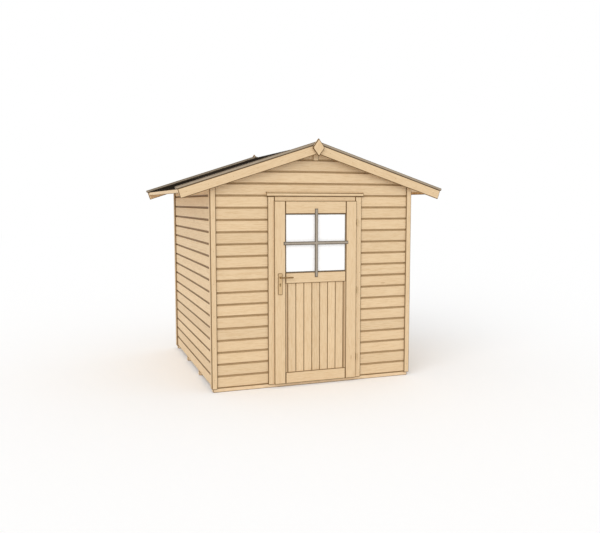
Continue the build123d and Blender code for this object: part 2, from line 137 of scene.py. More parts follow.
def make_spruce_grain():
    """Spruce with its grain along X: growth rings, fibres, soft patches and a few knots."""
    tree = bpy.data.node_groups.new("spruce grain", "ShaderNodeTree")
    for name, kind, value in (
        ("Vector", "NodeSocketVector", (0, 0, 0)),
        ("Across", "NodeSocketFloat", 0.0),
        ("Board Width", "NodeSocketFloat", 10.0),
        ("First Edge", "NodeSocketFloat", 0.0),
        ("Early Wood", "NodeSocketColor", (1, 1, 1, 1)),
        ("Late Wood", "NodeSocketColor", (0.5, 0.5, 0.5, 1)),
    ):
        socket = tree.interface.new_socket(name=name, in_out="INPUT", socket_type=kind)
        socket.default_value = value
    for name, kind in (
        ("Color", "NodeSocketColor"),
        ("Roughness", "NodeSocketFloat"),
        ("Height", "NodeSocketFloat"),
    ):
        tree.interface.new_socket(name=name, in_out="OUTPUT", socket_type=kind)
    nodes = tree.nodes
    links = tree.links
    source = nodes.new("NodeGroupInput")
    result = nodes.new("NodeGroupOutput")

    def maths(operation, first, second=None):
        node = nodes.new("ShaderNodeMath")
        node.operation = operation
        for socket, value in zip(node.inputs, (first, second)):
            if hasattr(value, "links"):
                links.new(value, socket)
            elif value is not None:
                socket.default_value = value
        return node.outputs[0]

    def stretched(vector, factors):
        node = nodes.new("ShaderNodeVectorMath")
        node.operation = "MULTIPLY"
        links.new(vector, node.inputs[0])
        node.inputs[1].default_value = factors
        return node.outputs[0]

    def blended(mode, factor, first, second):
        node = nodes.new("ShaderNodeMix")
        node.data_type = "RGBA"
        node.blend_type = mode
        for name, value in (("Factor", factor), ("A", first), ("B", second)):
            socket = [s for s in node.inputs if s.name == name and s.enabled][0]
            if hasattr(value, "links"):
                links.new(value, socket)
            else:
                socket.default_value = value
        return [s for s in node.outputs if s.enabled][0]

    from_edge = maths("SUBTRACT", source.outputs["Across"], source.outputs["First Edge"])
    board = maths("FLOOR", maths("DIVIDE", from_edge, source.outputs["Board Width"]))
    lot = nodes.new("ShaderNodeTexWhiteNoise")
    lot.noise_dimensions = "1D"
    links.new(board, lot.inputs["W"])
    log_shift = stretched(lot.outputs["Color"], (9, 7, 8))
    place = nodes.new("ShaderNodeVectorMath")
    place.operation = "ADD"
    links.new(source.outputs["Vector"], place.inputs[0])
    links.new(log_shift, place.inputs[1])
    place = place.outputs[0]

    rings = nodes.new("ShaderNodeTexWave")
    rings.wave_type = "RINGS"
    rings.rings_direction = "X"
    rings.inputs["Scale"].default_value = 26
    rings.inputs["Distortion"].default_value = 7
    rings.inputs["Detail"].default_value = 2
    rings.inputs["Detail Scale"].default_value = 5
    links.new(stretched(place, (0.07, 1, 1)), rings.inputs["Vector"])
    late = maths("POWER", rings.outputs["Fac"], 2.2)

    fibres = nodes.new("ShaderNodeTexNoise")
    fibres.inputs["Scale"].default_value = 1
    fibres.inputs["Detail"].default_value = 3
    links.new(stretched(place, (9, 330, 330)), fibres.inputs["Vector"])

    patches = nodes.new("ShaderNodeTexNoise")
    patches.inputs["Scale"].default_value = 1
    patches.inputs["Detail"].default_value = 2
    links.new(stretched(place, (1.1, 6, 6)), patches.inputs["Vector"])

    knots = nodes.new("ShaderNodeTexVoronoi")
    knots.inputs["Scale"].default_value = 1
    links.new(stretched(place, (1.9, 6.5, 6.5)), knots.inputs["Vector"])
    knot_size = nodes.new("ShaderNodeMapRange")
    knot_size.interpolation_type = "SMOOTHSTEP"
    knot_size.inputs["From Min"].default_value = 0.06
    knot_size.inputs["From Max"].default_value = 0.035
    links.new(knots.outputs["Distance"], knot_size.inputs["Value"])
    knot = knot_size.outputs["Result"]

    grain = maths("MULTIPLY", late, ring_share)
    grain = maths("ADD", grain, maths("MULTIPLY", fibres.outputs["Fac"], fibre_share))
    grain = maths("ADD", grain, maths("MULTIPLY", patches.outputs["Fac"], patch_share))
    wood = blended("MIX", grain, source.outputs["Early Wood"], source.outputs["Late Wood"])
    shade = nodes.new("ShaderNodeMapRange")
    shade.inputs["To Min"].default_value = 0.955
    shade.inputs["To Max"].default_value = 1.03
    links.new(lot.outputs["Value"], shade.inputs["Value"])
    tone = nodes.new("ShaderNodeCombineColor")
    for channel in tone.inputs:
        if channel.name in ("Red", "Green", "Blue"):
            links.new(shade.outputs["Result"], channel)
    wood = blended("MULTIPLY", 1.0, wood, tone.outputs[0])
    wood = blended("MIX", maths("MULTIPLY", knot, knot_share), wood, paint(*knot_brown))
    links.new(wood, result.inputs["Color"])
    roughness = maths("ADD", maths("MULTIPLY", fibres.outputs["Fac"], 0.2), 0.5)
    links.new(roughness, result.inputs["Roughness"])
    height = maths("ADD", maths("MULTIPLY", late, 0.5), fibres.outputs["Fac"])
    links.new(height, result.inputs["Height"])
    return tree


spruce_grain = make_spruce_grain()
turn_to_x = {"x": (0, 0, 0), "y": (0, 0, -pi / 2), "z": (0, pi / 2, 0)}


def spruce(name, early, late, along="x", turn=None, across=None, board=10.0, edge=0.0):
    """A spruce finish. The grain runs along one axis, or turn brings it to run along X.

    Boards lie side by side along the axis across, each one board wide, from an edge on.
    """
    wood = bpy.data.materials.new(name)
    wood.use_nodes = True
    nodes = wood.node_tree.nodes
    links = wood.node_tree.links
    shader = nodes["Principled BSDF"]
    shader.inputs["Specular IOR Level"].default_value = 0.25
    coordinates = nodes.new("ShaderNodeTexCoord")
    turned = nodes.new("ShaderNodeMapping")
    turned.inputs["Rotation"].default_value = turn or turn_to_x[along]
    grain = nodes.new("ShaderNodeGroup")
    grain.node_tree = spruce_grain
    grain.inputs["Early Wood"].default_value = early
    grain.inputs["Late Wood"].default_value = late
    grain.inputs["Board Width"].default_value = board
    grain.inputs["First Edge"].default_value = edge
    links.new(coordinates.outputs["Object"], turned.inputs["Vector"])
    links.new(turned.outputs["Vector"], grain.inputs["Vector"])
    if across:
        apart = nodes.new("ShaderNodeSeparateXYZ")
        links.new(coordinates.outputs["Object"], apart.inputs["Vector"])
        links.new(apart.outputs[across.upper()], grain.inputs["Across"])
    relief = nodes.new("ShaderNodeBump")
    relief.inputs["Strength"].default_value = 0.35
    relief.inputs["Distance"].default_value = 0.0006
    links.new(grain.outputs["Height"], relief.inputs["Height"])
    links.new(relief.outputs["Normal"], shader.inputs["Normal"])
    links.new(grain.outputs["Color"], shader.inputs["Base Color"])
    links.new(grain.outputs["Roughness"], shader.inputs["Roughness"])
    return wood


def merged_copy(node, name):
    """A copy of a node's mesh, with split corners merged and each flat face in one piece."""
    bpy.ops.object.select_all(action="DESELECT")
    piece = bpy.data.objects.new(name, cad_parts[node].data.copy())
    bpy.context.scene.collection.objects.link(piece)
    piece.select_set(True)
    bpy.context.view_layer.objects.active = piece
    bpy.ops.object.mode_set(mode="EDIT")
    bpy.ops.mesh.select_all(action="SELECT")
    bpy.ops.mesh.remove_doubles(threshold=weld_distance)
    bpy.ops.mesh.dissolve_limited(angle_limit=radians(1))
    bpy.ops.mesh.select_all(action="DESELECT")
    bpy.ops.object.mode_set(mode="OBJECT")
    piece.data.materials.clear()
    for face in piece.data.polygons:
        face.material_index = 0
    return piece


def ease_edges(piece, width, segments=1, angle=sharp_angle, material=-1):
    """Bevels every edge that turns by more than an angle, in degrees."""
    easing = piece.modifiers.new("eased edges", "BEVEL")
    easing.width = width
    easing.segments = segments
    easing.limit_method = "ANGLE"
    easing.angle_limit = radians(angle)
    easing.material = material
    bpy.ops.object.modifier_apply(modifier=easing.name)


def bevel_edges(piece, wanted, **cut):
    """Bevels the sharp edges whose two ends pass a test. cut is what mesh.bevel takes."""
    bpy.ops.object.mode_set(mode="EDIT")
    bpy.ops.mesh.select_mode(type="EDGE")
    bpy.ops.mesh.edges_select_sharp(sharpness=radians(sharp_angle))
    bpy.ops.object.mode_set(mode="OBJECT")
    points = piece.data.vertices
    for edge in piece.data.edges:
        edge.select = edge.select and wanted(*(points[index].co for index in edge.vertices))
    for vertex in points:
        vertex.select = False
    for face in piece.data.polygons:
        face.select = False
    bpy.ops.object.mode_set(mode="EDIT")
    bpy.ops.mesh.bevel(**cut)
    bpy.ops.object.mode_set(mode="OBJECT")


def eased_timber(node, body, face_wood, edge_wood, ease=0.004, only=None):
    """A planed piece in the place of a plain one: the same timber with eased arrises.

    only, where given, takes an edge's two ends and says whether that arris is eased.
    """
    timber = merged_copy(node, node + "_timber")
    timber.data.materials.append(face_wood)
    timber.data.materials.append(edge_wood)
    if only is None:
        ease_edges(timber, ease, segments=2, material=1)
    else:
        bevel_edges(timber, only, offset=ease, segments=2, material=1, loop_slide=False)
    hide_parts(node)
    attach(timber, body)
    return timber


# Painted light: the sawn spruce's pale colours lift the shade that falls on the bearers near the
# ground.
sawn_painted_light_x = spruce("sawn spruce painted light across", paint(244, 219, 184), paint(206, 170, 126), along="x")
sawn_edge = spruce("sawn spruce arris", paint(150, 121, 82), paint(118, 90, 54), along="x")
eased_timber("floor_bearers", "shed", sawn_painted_light_x, sawn_edge, ease=0.0055)

# Floor boards: tongued and grooved boards laid from front to back, nailed to the bearers.
# They are planed spruce, and show only through the open door.
cream = paint(235, 210, 173)
honey = paint(201, 166, 121)
floor_low, floor_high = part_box("floor_boards")
floor_board_width = 0.096
floor_gap = 0.0015
floor_ease = 0.001


def new_block(name, middle, size):
    """A squared block, from which a piece is then shaped."""
    bpy.ops.object.select_all(action="DESELECT")
    bpy.ops.mesh.primitive_cube_add(size=1, location=middle)
    block = bpy.context.active_object
    block.name = name
    block.scale = size
    bpy.ops.object.transform_apply(location=True, rotation=True, scale=True)
    return block


def repeat_boards(boards, step, count):
    """Lays copies of a board next to it, one step apart."""
    repeat = boards.modifiers.new("boards", "ARRAY")
    repeat.use_relative_offset = False
    repeat.use_constant_offset = True
    repeat.constant_offset_displace = step
    repeat.count = count
    bpy.ops.object.modifier_apply(modifier=repeat.name)


def cut_boards(boards, cuts):
    """Cuts boards off beyond each plane, given as a point on it and its outward normal."""
    bpy.ops.object.select_all(action="DESELECT")
    boards.select_set(True)
    bpy.context.view_layer.objects.active = boards
    bpy.ops.object.mode_set(mode="EDIT")
    for point, outward in cuts:
        bpy.ops.mesh.select_all(action="SELECT")
        bpy.ops.mesh.bisect(plane_co=point, plane_no=outward, use_fill=True, clear_outer=True)
    bpy.ops.object.mode_set(mode="OBJECT")


def boards_side_by_side(name, low, high, width, gap, ease):
    """Boards of one width from low to high, lying side by side along X."""
    middle = (low[0] + (width - gap) / 2, (low[1] + high[1]) / 2, (low[2] + high[2]) / 2)
    boards = new_block(name, middle, (width - gap, high[1] - low[1], high[2] - low[2]))
    ease_edges(boards, ease)
    repeat_boards(boards, (width, 0, 0), int((high[0] - low[0]) / width) + 1)
    cut_boards(boards, ((high, (1, 0, 0)),))
    return boards


floor = boards_side_by_side(
    "floor_boarding", floor_low, floor_high, floor_board_width, floor_gap, floor_ease
)
floor_wood = spruce(
    "floor spruce",
    cream,
    honey,
    along="y",
    across="x",
    board=floor_board_width,
    edge=floor_low[0],
)
floor.data.materials.append(floor_wood)
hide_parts("floor_boards")
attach(floor, "shed")

# Wall frames: planed spruce battens inside the walls, nailed together as upright studs
# between rails and plates. Their arrises are darker than their faces.
arris = paint(128, 99, 62)
arris_dark = paint(100, 74, 42)
planed_x = spruce("planed spruce across", cream, honey, along="x")
planed_y = spruce("planed spruce lengthways", cream, honey, along="y")
planed_z = spruce("planed spruce upright", cream, honey, along="z")
arris_x = spruce("arris across", arris, arris_dark, along="x")
arris_y = spruce("arris lengthways", arris, arris_dark, along="y")
arris_z = spruce("arris upright", arris, arris_dark, along="z")
eased_timber("side_wall_studs", "shed", planed_z, arris_z)
eased_timber("end_wall_studs", "shed", planed_z, arris_z)
eased_timber("side_wall_plates", "shed", planed_y, arris_y)
eased_timber("end_wall_rails", "shed", planed_x, arris_x)

# Wall boards: level boards, each with a hollow run along its top edge and a chamfer along
# its lower one, so that every joint shows as a dark line. The hollows and chamfers are also
# painted darker: painted shade for the shadow in each joint, darker on the side walls than
# on the front and back. They are nailed to the frame.
board_cover = 0.112
board_play = 0.0006
chamfer_height = 0.009
chamfer_depth = 0.006
hollow_height = 0.012
hollow_middle_depth = 0.006
hollow_depth = 0.008
first_board_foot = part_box("left_wall")[0][2]
touching = 0.0002
# Painted shade: the darker tones of the hollows and chamfers stand in for the shadow in the
# joints.
hollow_shade_early = paint(150, 118, 78)
hollow_shade_late = paint(106, 78, 46)
hollow_shade_early_front = paint(186, 156, 116)
hollow_shade_late_front = paint(146, 116, 80)
courses = {"across": "z", "board": board_cover, "edge": first_board_foot}
wall_x = spruce("wall boards across", cream, honey, along="x", **courses)
wall_y = spruce("wall boards lengthways", cream, honey, along="y", **courses)
hollow_shade_x = spruce("board hollow painted shade across", hollow_shade_early_front, hollow_shade_late_front, along="x")
hollow_shade_y = spruce("board hollow painted shade lengthways", hollow_shade_early, hollow_shade_late, along="y")


def lay_wall_boards(name, node, facing, wood, hollow_shade_wood):
    """Boards over the whole box of a wall, facing out along -Y, +Y, -X or +X."""
    low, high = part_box(node)
    along_x = facing in ("-y", "+y")
    length = high[0] - low[0] if along_x else high[1] - low[1]
    thickness = high[1] - low[1] if along_x else high[0] - low[0]
    first = max(round((low[2] - first_board_foot) / board_cover - 0.5), 0)
    start = first_board_foot + first * board_cover
    board_height = board_cover - board_play
    levels = (
        (0, chamfer_depth),
        (chamfer_height, 0),
        (board_height - hollow_height, 0),
        (board_height - hollow_height / 2, hollow_middle_depth),
        (board_height, hollow_depth),
    )
    boards = new_block(name, (0, 0, board_height / 2), (length, thickness, board_height))
    bpy.ops.object.mode_set(mode="EDIT")
    for level, _ in levels[1:-1]:
        bpy.ops.mesh.select_all(action="SELECT")
        bpy.ops.mesh.bisect(plane_co=(0, 0, level), plane_no=(0, 0, 1))
    bpy.ops.object.mode_set(mode="OBJECT")
    for level, depth in levels:
        for vertex in boards.data.vertices:
            if abs(vertex.co.z - level) < touching and vertex.co.y < 0:
                vertex.co.y = depth - thickness / 2
    boards.data.materials.append(wood)
    boards.data.materials.append(hollow_shade_wood)
    # The faces in the hollow and in the chamfer take the painted shade.
    for face in boards.data.polygons:
        painted_shade_face = not chamfer_height < face.center.z < board_height - hollow_height
        face.material_index = 1 if painted_shade_face and face.normal.y < -0.2 else 0
    repeat_boards(boards, (0, 0, board_cover), ceil((high[2] - start) / board_cover - 0.001))
    quarter_turns = {"-y": 0, "+x": 1, "+y": 2, "-x": 3}[facing]
    boards.rotation_euler = (0, 0, quarter_turns * pi / 2)
    boards.location = ((low[0] + high[0]) / 2, (low[1] + high[1]) / 2, start)
    bpy.ops.object.transform_apply(location=True, rotation=True, scale=True)
    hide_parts(node)
    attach(boards, "shed")
    return boards


def metal(name, colour, dark, roughness):
    """A brushed metal finish: two tones and a roughness that changes a little with them."""
    finish = bpy.data.materials.new(name)
    finish.use_nodes = True
    nodes = finish.node_tree.nodes
    links = finish.node_tree.links
    shader = nodes["Principled BSDF"]
    shader.inputs["Metallic"].default_value = 0.85
    coordinates = nodes.new("ShaderNodeTexCoord")
    brushing = nodes.new("ShaderNodeMapping")
    brushing.inputs["Scale"].default_value = (500, 500, 40)
    streaks = nodes.new("ShaderNodeTexNoise")
    streaks.inputs["Scale"].default_value = 1
    tone = nodes.new("ShaderNodeMix")
    tone.data_type = "RGBA"
    tone.inputs["A"].default_value = colour
    tone.inputs["B"].default_value = dark
    gloss = nodes.new("ShaderNodeMapRange")
    gloss.inputs["To Min"].default_value = roughness - 0.08
    gloss.inputs["To Max"].default_value = roughness + 0.08
    links.new(coordinates.outputs["Object"], brushing.inputs["Vector"])
    links.new(brushing.outputs["Vector"], streaks.inputs["Vector"])
    links.new(streaks.outputs["Fac"], tone.inputs["Factor"])
    links.new(streaks.outputs["Fac"], gloss.inputs["Value"])
    links.new(tone.outputs["Result"], shader.inputs["Base Color"])
    links.new(gloss.outputs["Result"], shader.inputs["Roughness"])
    return finish


def nail_heads(name, body, places, outward, radius, finish):
    """Round nail heads with a domed edge, one driven in at each place of a face."""
    bpy.ops.object.select_all(action="DESELECT")
    bpy.ops.mesh.primitive_cylinder_add(vertices=8, radius=radius, depth=radius / 2)
    heads = bpy.context.active_object
    heads.name = name
    ease_edges(heads, radius / 5, angle=60)
    heads.data.materials.append(finish)
    heads.rotation_euler = Vector(outward).to_track_quat("Z", "Y").to_euler()
    heads.location = places[0]
    bpy.ops.object.transform_apply(location=True, rotation=True, scale=True)
    for place in places[1:]:
        head = heads.copy()
        head.data = heads.data.copy()
        head.location = Vector(place) - Vector(places[0])
        bpy.context.scene.collection.objects.link(head)
        head.select_set(True)
    bpy.ops.object.join()
    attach(heads, body)


# The shed's two sides and two ends, each with its direction along X or Y.
sides = (("left", -1), ("right", 1))
ends = (("front", -1), ("back", 1))

# The walls' tops are cut off along the undersides of the roof boards.
roof_low, roof_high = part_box("roof_boards_right")
ridge_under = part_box("ridge_purlin")[1][2]
roof_angle = atan2(ridge_under - roof_low[2], roof_high[0])
roof_play = 0.0005
ridge_point = (0, 0, ridge_under - roof_play)
right_slope = (sin(roof_angle), 0, cos(roof_angle))
left_slope = (-sin(roof_angle), 0, cos(roof_angle))
slopes = ((ridge_point, right_slope), (ridge_point, left_slope))

left_boards = lay_wall_boards("left_wall_boards", "left_wall", "-x", wall_y, hollow_shade_y)
cut_boards(left_boards, slopes[1:])
right_boards = lay_wall_boards("right_wall_boards", "right_wall", "+x", wall_y, hollow_shade_y)
cut_boards(right_boards, slopes[:1])
back_boards = lay_wall_boards("back_wall_boards", "back_wall", "+y", wall_x, hollow_shade_x)
cut_boards(back_boards, slopes)
gable_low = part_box("front_gable")[0]
gable_boards = lay_wall_boards("front_gable_boards", "front_gable", "-y", wall_x, hollow_shade_x)
cut_boards(gable_boards, slopes)
for hand, _ in sides:
    beside_door = lay_wall_boards(
        "front_boards_" + hand, "front_wall_" + hand, "-y", wall_x, hollow_shade_x
    )
    cut_boards(beside_door, (((0, 0, gable_low[2]), (0, 0, 1)),))

nail_steel = metal("nail heads", paint(206, 182, 146), paint(166, 140, 104), 0.4)
nail_radius = 0.0035
wall_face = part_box("right_wall")[1][0]
gable_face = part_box("back_wall")[1][1]
side_studs = (-0.975, -0.3268, 0.3268, 0.975)
end_studs = (-0.4625, 0.4625)
boards_per_wall = 17
nail_height = 0.45 * board_cover
nail_levels = [
    first_board_foot + number * board_cover + nail_height for number in range(boards_per_wall)
]
for hand, outward in sides:
    rows = [(outward * wall_face, stud, level) for stud in side_studs for level in nail_levels]
    nail_heads("nails_" + hand + "_wall", "shed", rows, (outward, 0, 0), nail_radius, nail_steel)
rows = [(stud, gable_face, level) for stud in end_studs for level in nail_levels]
nail_heads("nails_back_wall", "shed", rows, (0, 1, 0), nail_radius, nail_steel)

# Corner strips: planed strips, nailed over the boards' ends on both faces of each corner.
for wall in ("front", "back", "left", "right"):
    eased_timber(wall + "_corner_strips", "shed", planed_z, arris_z, ease=0.006)
strip_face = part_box("front_corner_strips")[0][1]
corner_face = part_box("right_corner_strips")[1][0]
strip_middle = 0.0275
strip_levels = (0.12, 0.42, 0.72, 1.02, 1.32, 1.62, 1.88)
for wall, outward in ends:
    rows = [
        (side * (corner_face - strip_middle), -outward * strip_face, level)
        for side in (-1, 1)
        for level in strip_levels
    ]
    nail_heads("nails_" + wall + "_strips", "shed", rows, (0, outward, 0), nail_radius, nail_steel)
for wall, outward in sides:
    rows = [
        (outward * corner_face, side * (gable_face - strip_middle), level)
        for side in (-1, 1)
        for level in strip_levels
    ]
    nail_heads("nails_" + wall + "_strips", "shed", rows, (outward, 0, 0), nail_radius, nail_steel)

# Doorway: upright jambs and a head through the wall, a threshold, casings outside over
# the boards' ends, a strip between the casings, and a sloped drip cap over them.
eased_timber("door_jambs", "shed", planed_z, arris_z)
eased_timber("door_head_lining", "shed", planed_x, arris_x)
eased_timber("threshold", "shed", planed_x, arris_x)
eased_timber("door_casings", "shed", planed_z, arris_z, ease=0.0065)
eased_timber("door_head_strip", "shed", planed_x, arris_x)
eased_timber("drip_cap", "shed", planed_x, arris_x, ease=0.006)
casing_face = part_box("door_casings")[0][1]
casing_middle = 0.462
casing_levels = (0.1, 0.42, 0.75, 1.08, 1.42, 1.76)
head_middle = 1.804
rows = [
    (side * casing_middle, casing_face, level) for side in (-1, 1) for level in casing_levels
]
rows += [(across, casing_face, head_middle) for across in (-0.3, 0.0, 0.3)]
nail_heads("nails_casings", "shed", rows, (0, -1, 0), nail_radius, nail_steel)

# Door leaf: planed stiles and rails, tenoned and glued, with a panel of upright boards in
# their grooves below, and beads round the pane's opening at the back.
leaf_ease = 0.0062
leaf_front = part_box("door_stiles")[0][1]
leaf_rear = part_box("door_stiles")[1][1]
rails_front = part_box("door_rails")[0][1]
plate_low, plate_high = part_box("handle_plates")


def on_leaf_face(start, end):
    """Whether an edge lies in the leaf's front or rear face, clear of the lock's holes."""
    beside_plate = not plate_low[0] < start.x < plate_high[0]
    clear_of_plate = beside_plate or not plate_low[2] < start.z < plate_high[2]
    return clear_of_plate and any(
        abs(start.y - level) < touching and abs(end.y - level) < touching
        for level in (leaf_front, rails_front, leaf_rear)
    )


eased_timber("door_stiles", "door", planed_z, arris_z, leaf_ease, on_leaf_face)
eased_timber("door_rails", "door", planed_x, arris_x, leaf_ease, on_leaf_face)
eased_timber("glazing_beads", "door", planed_x, arris_x, ease=0.0015)

panel_low, panel_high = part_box("door_panel")
panel_board_width = 0.0815
panel_gap = 0.0006
panel_ease = 0.004
panel_board_count = 9
panel_start = -panel_board_count / 2 * panel_board_width
panel_boards = boards_side_by_side(
    "door_panel_boards",
    (panel_start, panel_low[1], panel_low[2]),
    panel_high,
    panel_board_width,
    panel_gap,
    panel_ease,
)
cut_boards(panel_boards, (((panel_low[0], 0, 0), (-1, 0, 0)),))
panel_wood = spruce(
    "panel boards",
    cream,
    honey,
    along="z",
    across="x",
    board=panel_board_width,
    edge=panel_start,
)
panel_boards.data.materials.append(panel_wood)
# The boards' slanted joint faces take the walls' painted shade tones, for the shadow in each
# joint.
panel_boards.data.materials.append(spruce("panel joint painted shade", hollow_shade_early, hollow_shade_late, along="z"))
for face in panel_boards.data.polygons:
    face.material_index = 1 if 0.2 < abs(face.normal.x) < 0.95 else 0
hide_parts("door_panel")
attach(panel_boards, "door")

# Panel mouldings: a hollow moulding up each side of the boarded panel, pinned into the
# corner between the boards and the stile. Their darker colours are painted shade, for the
# shadow in that corner.
stile_inner = 0.309
moulding_inner = 0.2878
moulding_reach = 0.008
moulding_play = 0.009
moulding_hollow = 0.0065
moulding_front = panel_low[1] - moulding_reach
moulding_foot = panel_low[2] + moulding_play
moulding_head = panel_high[2] - moulding_play
# Painted shade: the mouldings are coloured darker than the panel, for the shadow in the corner
# beside the stile.
moulding_shade_wood = spruce("moulding spruce painted shade", paint(206, 178, 142), paint(172, 140, 102), along="z")
moulding_edge_shade = spruce("moulding hollow painted shade", paint(180, 150, 114), paint(148, 118, 82), along="z")


def on_moulding_corner(start, end):
    """Whether an edge is a moulding's front corner on the panel's side."""
    return all(
        abs(abs(point.x) - moulding_inner) < touching and point.y < moulding_front + touching
        for point in (start, end)
    )


for hand, side in sides:
    moulding = new_block(
        "panel_moulding_" + hand,
        (
            side * (stile_inner + moulding_inner) / 2,
            (moulding_front + panel_low[1]) / 2,
            (moulding_foot + moulding_head) / 2,
        ),
        (stile_inner - moulding_inner, moulding_reach, moulding_head - moulding_foot),
    )
    moulding.data.materials.append(moulding_shade_wood)
    moulding.data.materials.append(moulding_edge_shade)
    bevel_edges(
        moulding, on_moulding_corner, offset=moulding_hollow, segments=5, profile=0.2, material=1
    )
    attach(moulding, "door")

# Pane: one opal plastic sheet with a satin finish, in the leaf's opening above the lock
# rail, held by the beads at the back.
opal = bpy.data.materials.new("opal sheet")
opal.use_nodes = True
opal_nodes = opal.node_tree.nodes
opal_links = opal.node_tree.links
opal_shader = opal_nodes["Principled BSDF"]
opal_clouds = opal_nodes.new("ShaderNodeTexNoise")
opal_clouds.inputs["Scale"].default_value = 9
opal_coordinates = opal_nodes.new("ShaderNodeTexCoord")
opal_satin = opal_nodes.new("ShaderNodeMapRange")
opal_satin.inputs["To Min"].default_value = 0.28
opal_satin.inputs["To Max"].default_value = 0.4
opal_links.new(opal_coordinates.outputs["Object"], opal_clouds.inputs["Vector"])
opal_links.new(opal_clouds.outputs["Fac"], opal_satin.inputs["Value"])
opal_links.new(opal_satin.outputs["Result"], opal_shader.inputs["Roughness"])
opal_tint = opal_nodes.new("ShaderNodeMix")
opal_tint.data_type = "RGBA"
opal_tint.inputs["A"].default_value = paint(253, 253, 253)
opal_tint.inputs["B"].default_value = paint(255, 255, 255)
opal_links.new(opal_clouds.outputs["Fac"], opal_tint.inputs["Factor"])
opal_links.new(opal_tint.outputs["Result"], opal_shader.inputs["Base Color"])


def finish_node(node, finish):
    """Gives a piece that keeps its CAD mesh one finish."""
    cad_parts[node].data.materials.clear()
    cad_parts[node].data.materials.append(finish)


finish_node("door_glass", opal)

# Glazing seal: a dark rubber strip round the pane's edge, in the corner between the pane
# and the leaf's opening.
seal_width = 0.008
seal_thickness = 0.0025
bead_width = 0.010
pane_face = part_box("door_glass")[0][1]
pane_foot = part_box("glazing_beads")[0][2] + bead_width
pane_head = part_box("glazing_beads")[1][2] - bead_width
seal = new_block(
    "pane_seal",
    (0, pane_face - seal_thickness / 2, (pane_foot + pane_head) / 2),
    (2 * stile_inner, seal_thickness, pane_head - pane_foot),
)
bpy.ops.object.mode_set(mode="EDIT")
bpy.ops.mesh.select_all(action="DESELECT")
bpy.ops.object.mode_set(mode="OBJECT")
for face in seal.data.polygons:
    face.select = abs(face.normal.y) > 0.9
bpy.ops.object.mode_set(mode="EDIT")
bpy.ops.mesh.select_mode(type="FACE")
bpy.ops.mesh.inset(thickness=seal_width, use_individual=True)
bpy.ops.mesh.bridge_edge_loops()
bpy.ops.object.mode_set(mode="OBJECT")
rubber = bpy.data.materials.new("seal rubber")
rubber.use_nodes = True
rubber_nodes = rubber.node_tree.nodes
rubber_links = rubber.node_tree.links
rubber_shader = rubber_nodes["Principled BSDF"]
rubber_shader.inputs["Roughness"].default_value = 0.7
rubber_dust = rubber_nodes.new("ShaderNodeTexNoise")
rubber_dust.inputs["Scale"].default_value = 60
rubber_coordinates = rubber_nodes.new("ShaderNodeTexCoord")
rubber_tone = rubber_nodes.new("ShaderNodeMix")
rubber_tone.data_type = "RGBA"
rubber_tone.inputs["A"].default_value = paint(70, 60, 46)
rubber_tone.inputs["B"].default_value = paint(110, 98, 80)
rubber_links.new(rubber_coordinates.outputs["Object"], rubber_dust.inputs["Vector"])
rubber_links.new(rubber_dust.outputs["Fac"], rubber_tone.inputs["Factor"])
rubber_links.new(rubber_tone.outputs["Result"], rubber_shader.inputs["Base Color"])
seal.data.materials.append(rubber)
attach(seal, "door")

# Glazing bars: a cross of two flat bars, laid on the leaf's face over the pane and halved
# into each other. They are grey-brown.
bar_early = paint(174, 163, 148)
bar_late = paint(142, 131, 116)
bar_arris = paint(112, 101, 87)
bar_arris_dark = paint(94, 84, 70)
bar_half_width = 0.016
bar_ease = 0.0075
bars_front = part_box("glazing_bars")[0][1]
bar_wood_z = spruce("glazing bar upright", bar_early, bar_late, along="z")
bar_wood_x = spruce("glazing bar across", bar_early, bar_late, along="x")
bar_edge = spruce("glazing bar arris", bar_arris, bar_arris_dark, along="z")


def on_bars_front(start, end):
    """Whether an edge lies in the bars' front face."""
    return abs(start.y - bars_front) < touching and abs(end.y - bars_front) < touching


bars = eased_timber(
    "glazing_bars", "door", bar_wood_z, bar_edge, bar_ease, on_bars_front
)
bars.data.materials.append(bar_wood_x)
for face in bars.data.polygons:
    if face.material_index == 0 and abs(face.center.x) > bar_half_width:
        face.material_index = 2

# Hinges and handle: zinc-plated drilled-in hinges, and a long plate with a sprung lever
# on each face of the left stile, in bronze-coloured aluminium with a satin finish.
zinc = metal("yellow zinc plate", paint(228, 202, 160), paint(200, 172, 128), 0.4)
brass = metal("lock brass", paint(178, 150, 106), paint(142, 114, 74), 0.35)
bronze = metal("bronze aluminium", paint(226, 196, 154), paint(196, 164, 120), 0.42)
dark_bronze = metal("bronze arris", paint(118, 90, 54), paint(94, 68, 38), 0.45)
lever_bronze = metal("lever bronze", paint(158, 126, 84), paint(126, 96, 58), 0.42)
plate_ease = 0.0045
plate_border = 0.007


def on_plate_border(start, end):
    """Whether an edge runs round the outside of a handle plate's face."""
    middle = (start + end) / 2
    in_face = all(
        min(abs(point.y - plate_low[1]), abs(point.y - plate_high[1])) < touching
        for point in (start, end)
    )
    from_side = min(middle.x - plate_low[0], plate_high[0] - middle.x)
    from_end = min(middle.z - plate_low[2], plate_high[2] - middle.z)
    return in_face and min(from_side, from_end) < plate_border


for node in ("door_hinge_knuckles", "frame_hinge_knuckles", "lever_spindle"):
    finish_node(node, zinc)
finish_node("lock_cylinder", brass)
finish_node("lever_handles", lever_bronze)
eased_timber(
    "handle_plates", "door", bronze, dark_bronze, plate_ease, on_plate_border
)

# Ridge purlin: one squared beam under the ridge, from gable to gable, that carries the
# tops of the roof boards. Its ends show under each gable's peak.
eased_timber("ridge_purlin", "shed", planed_y, arris_y)
